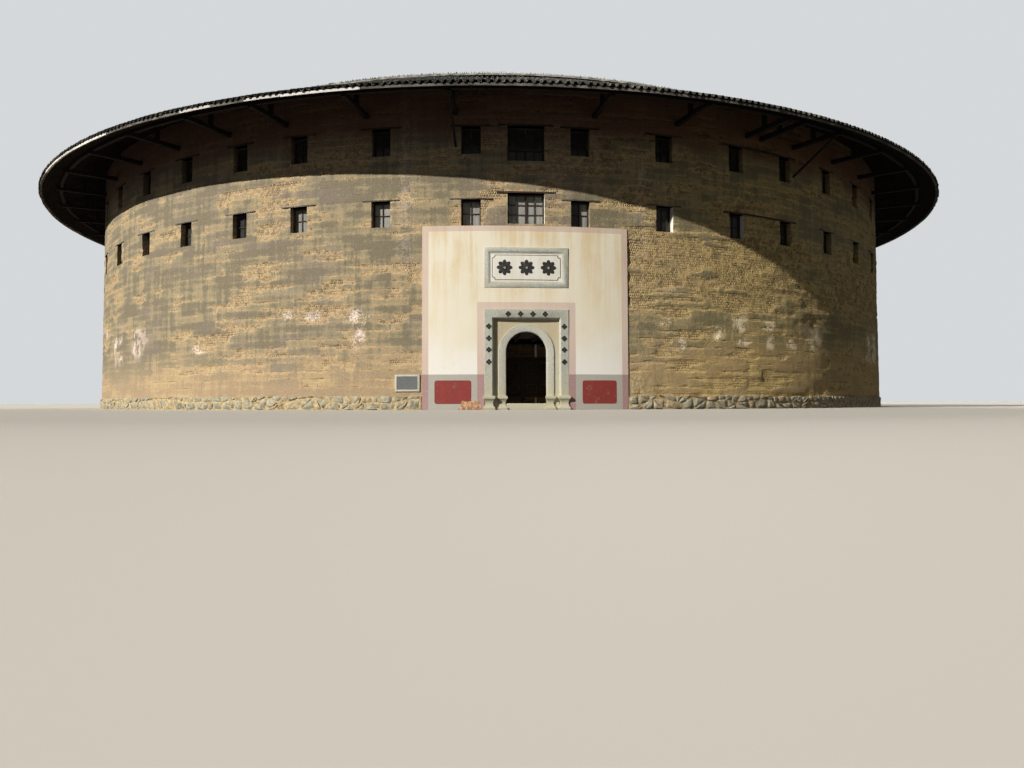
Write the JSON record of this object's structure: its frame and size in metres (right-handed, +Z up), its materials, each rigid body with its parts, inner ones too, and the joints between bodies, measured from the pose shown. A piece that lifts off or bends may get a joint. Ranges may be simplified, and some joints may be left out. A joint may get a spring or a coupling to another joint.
{
  "type": "tulou roundhouse, scale model at 1:2",
  "caption": "Round rammed-earth house with an open courtyard, a wide tiled ring roof, window rows high in the wall and a stone gate in a plaster panel.",
  "frame": {"origin": "on the axis of the ring, at the level that the footing stands on", "axes": "+Z up; the gate faces -Y; +X is to the right as one faces the gate"},
  "size_m": [32.2, 32.2, 8.525],
  "materials": {
    "earth": "rammed earth, coursed and pitted by weather",
    "river_stone": "rubble of river stones in pale mortar",
    "plaster": "lime plaster, stained, with painted borders",
    "granite": "dressed granite, matt",
    "white_plaster": "smooth lime plaster",
    "slate": "honed slate",
    "timber": "old fir, darkened by weather",
    "boards": "sawn fir boards",
    "floor": "beaten earth and lime, worn",
    "tile": "unglazed clay tile, lichen grey",
    "window_glass": "dusty sheet glass"
  },
  "bodies": {
    "root": {"wall_over_door": "earth", "wall_front_left": "earth", "wall_front_right": "earth", "wall_left_side_front": "earth", "wall_right_side_front": "earth", "wall_left_side_back": "earth", "wall_right_side_back": "earth", "wall_left_back_side": "earth", "wall_right_back_side": "earth", "wall_left_back": "earth", "wall_right_back": "earth", "footing_front_left": "river_stone", "footing_front_right": "river_stone", "footing_back_right": "river_stone", "footing_back_left": "river_stone", "plaster_panel": "plaster", "portal_jamb_left": "granite", "portal_jamb_right": "granite", "portal_lintel": "granite", "portal_arch_wall": "granite", "portal_archivolt": "granite", "threshold": "granite", "plaque_frame": "granite", "plaque_field": "white_plaster", "wall_plate": "slate", "gate_screen": "timber", "floor_ground": "floor", "floor_2": "boards", "floor_3": "boards", "floor_4": "boards", "gallery_1": "timber", "gallery_2": "timber", "gallery_3": "timber", "gallery_4": "timber", "eave_brackets_front_left": "timber", "eave_brackets_front_right": "timber", "eave_brackets_back_right": "timber", "eave_brackets_back_left": "timber", "eave_prop_left": "timber", "eave_prop_right": "timber", "roof_outer_front_left": "tile", "roof_outer_front_right": "tile", "roof_outer_back_right": "tile", "roof_outer_back_left": "tile", "roof_inner_front_left": "tile", "roof_inner_front_right": "tile", "roof_inner_back_right": "tile", "roof_inner_back_left": "tile", "roof_ridge": "tile"}
  },
  "joints": []
}
